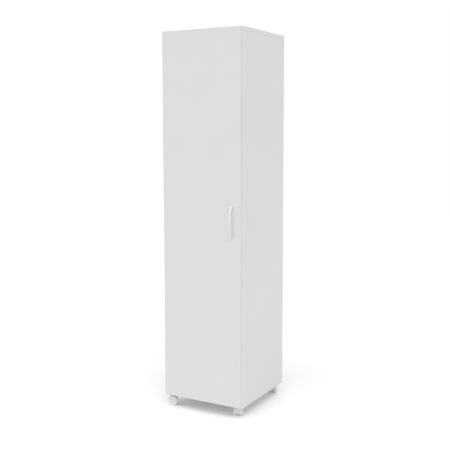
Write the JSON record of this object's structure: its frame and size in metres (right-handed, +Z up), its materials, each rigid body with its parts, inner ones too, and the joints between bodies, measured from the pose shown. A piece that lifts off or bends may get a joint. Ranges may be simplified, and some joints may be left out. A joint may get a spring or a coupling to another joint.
{
  "type": "broom cupboard",
  "caption": "Tall narrow white cupboard on twin-wheel castors, with a full overlay door on concealed cup hinges, a bow handle, a broom space and a top shelf.",
  "frame": {"origin": "on the floor, under the middle of the whole cupboard with its door shut, the handle included", "axes": "+Z up; the door faces -Y, and its hinges are on the -X side"},
  "size_m": [0.4088, 0.4676, 1.732],
  "materials": {
    "white_board": "particle board faced with satin white melamine, thin white edging on every edge",
    "white_back": "thin white faced hardboard",
    "dowel_wood": "plain beech",
    "zinc_steel": "bright zinc plated steel",
    "cam_alloy": "die cast alloy",
    "handle_white": "white satin lacquer",
    "bumper_rubber": "clear soft buffer",
    "hinge_nickel": "nickel plated pressed steel",
    "castor_plastic": "moulded white plastic, fine matt skin",
    "wheel_plastic": "moulded white plastic with a smooth tread"
  },
  "bodies": {
    "carcass": {"side_panel_left": "white_board", "side_panel_right": "white_board", "top_panel": "white_board", "bottom_panel": "white_board", "shelf": "white_board", "back_panel": "white_back", "shelf_pins": "zinc_steel", "dowels": "dowel_wood", "cam_bolts": "zinc_steel", "cam_locks": "cam_alloy", "bottom_hinge_arm": "hinge_nickel", "lower_hinge_arm": "hinge_nickel", "upper_hinge_arm": "hinge_nickel", "top_hinge_arm": "hinge_nickel", "bottom_hinge_plate": "hinge_nickel", "lower_hinge_plate": "hinge_nickel", "upper_hinge_plate": "hinge_nickel", "top_hinge_plate": "hinge_nickel", "hinge_plate_screws": "zinc_steel", "hinge_arm_screws": "zinc_steel", "front_left_castor_plate": "zinc_steel", "front_left_castor_kingpin": "zinc_steel", "front_right_castor_plate": "zinc_steel", "front_right_castor_kingpin": "zinc_steel", "back_left_castor_plate": "zinc_steel", "back_left_castor_kingpin": "zinc_steel", "back_right_castor_plate": "zinc_steel", "back_right_castor_kingpin": "zinc_steel", "castor_screws": "zinc_steel"},
    "hinge_links": {"bottom_hinge_link": "hinge_nickel", "lower_hinge_link": "hinge_nickel", "upper_hinge_link": "hinge_nickel", "top_hinge_link": "hinge_nickel"},
    "door": {"door_panel": "white_board", "handle": "handle_white", "handle_screws": "zinc_steel", "door_bumpers": "bumper_rubber", "bottom_hinge_cup": "hinge_nickel", "lower_hinge_cup": "hinge_nickel", "upper_hinge_cup": "hinge_nickel", "top_hinge_cup": "hinge_nickel", "hinge_cup_screws": "zinc_steel"},
    "front_left_castor": {"front_left_castor_housing": "castor_plastic", "front_left_castor_axle": "zinc_steel"},
    "front_left_castor_left_wheel": {"front_left_castor_left_wheel": "wheel_plastic"},
    "front_left_castor_right_wheel": {"front_left_castor_right_wheel": "wheel_plastic"},
    "front_right_castor": {"front_right_castor_housing": "castor_plastic", "front_right_castor_axle": "zinc_steel"},
    "front_right_castor_left_wheel": {"front_right_castor_left_wheel": "wheel_plastic"},
    "front_right_castor_right_wheel": {"front_right_castor_right_wheel": "wheel_plastic"},
    "back_left_castor": {"back_left_castor_housing": "castor_plastic", "back_left_castor_axle": "zinc_steel"},
    "back_left_castor_left_wheel": {"back_left_castor_left_wheel": "wheel_plastic"},
    "back_left_castor_right_wheel": {"back_left_castor_right_wheel": "wheel_plastic"},
    "back_right_castor": {"back_right_castor_housing": "castor_plastic", "back_right_castor_axle": "zinc_steel"},
    "back_right_castor_left_wheel": {"back_right_castor_left_wheel": "wheel_plastic"},
    "back_right_castor_right_wheel": {"back_right_castor_right_wheel": "wheel_plastic"}
  },
  "joints": [
    {"name": "hinge_link_turn", "type": "hinge", "parent": "carcass", "child": "hinge_links", "pos_m": [-0.176, -0.1926, 0.8905], "axis": [0, 0, 1], "range_deg": [0, 37.8]},
    {"name": "door_swing", "type": "hinge", "parent": "hinge_links", "child": "door", "pos_m": [-0.1895, -0.1946, 0.8905], "axis": [0, 0, -1], "range_deg": [0, 142.8]},
    {"name": "front_left_castor_swivel", "type": "hinge", "parent": "carcass", "child": "front_left_castor", "pos_m": [-0.163, -0.1611, 0.041], "axis": [0, 0, 1], "continuous": true},
    {"name": "front_left_castor_left_wheel_spin", "type": "hinge", "parent": "front_left_castor", "child": "front_left_castor_left_wheel", "pos_m": [-0.18521, -0.15715, 0.021], "axis": [0.454, -0.891, 0], "continuous": true},
    {"name": "front_left_castor_right_wheel_spin", "type": "hinge", "parent": "front_left_castor", "child": "front_left_castor_right_wheel", "pos_m": [-0.17286, -0.18139, 0.021], "axis": [0.454, -0.891, 0], "continuous": true},
    {"name": "front_right_castor_swivel", "type": "hinge", "parent": "carcass", "child": "front_right_castor", "pos_m": [0.163, -0.1611, 0.041], "axis": [0, 0, 1], "continuous": true},
    {"name": "front_right_castor_left_wheel_spin", "type": "hinge", "parent": "front_right_castor", "child": "front_right_castor_left_wheel", "pos_m": [0.16962, -0.13953, 0.021], "axis": [-0.9397, -0.342, 0], "continuous": true},
    {"name": "front_right_castor_right_wheel_spin", "type": "hinge", "parent": "front_right_castor", "child": "front_right_castor_right_wheel", "pos_m": [0.14406, -0.14884, 0.021], "axis": [-0.9397, -0.342, 0], "continuous": true},
    {"name": "back_left_castor_swivel", "type": "hinge", "parent": "carcass", "child": "back_left_castor", "pos_m": [-0.163, 0.1919, 0.041], "axis": [0, 0, 1], "continuous": true},
    {"name": "back_left_castor_left_wheel_spin", "type": "hinge", "parent": "back_left_castor", "child": "back_left_castor_left_wheel", "pos_m": [-0.15421, 0.17112, 0.021], "axis": [0.5, 0.866, 0], "continuous": true},
    {"name": "back_left_castor_right_wheel_spin", "type": "hinge", "parent": "back_left_castor", "child": "back_left_castor_right_wheel", "pos_m": [-0.14061, 0.19468, 0.021], "axis": [0.5, 0.866, 0], "continuous": true},
    {"name": "back_right_castor_swivel", "type": "hinge", "parent": "carcass", "child": "back_right_castor", "pos_m": [0.163, 0.1919, 0.041], "axis": [0, 0, 1], "continuous": true},
    {"name": "back_right_castor_left_wheel_spin", "type": "hinge", "parent": "back_right_castor", "child": "back_right_castor_left_wheel", "pos_m": [0.17, 0.21335, 0.021], "axis": [-0.9455, -0.3256, 0], "continuous": true},
    {"name": "back_right_castor_right_wheel_spin", "type": "hinge", "parent": "back_right_castor", "child": "back_right_castor_right_wheel", "pos_m": [0.14428, 0.20449, 0.021], "axis": [-0.9455, -0.3256, 0], "continuous": true}
  ],
  "couplings": [
    {"joint": "hinge_link_turn", "follows": "door_swing", "ratio": 0.26471}
  ]
}
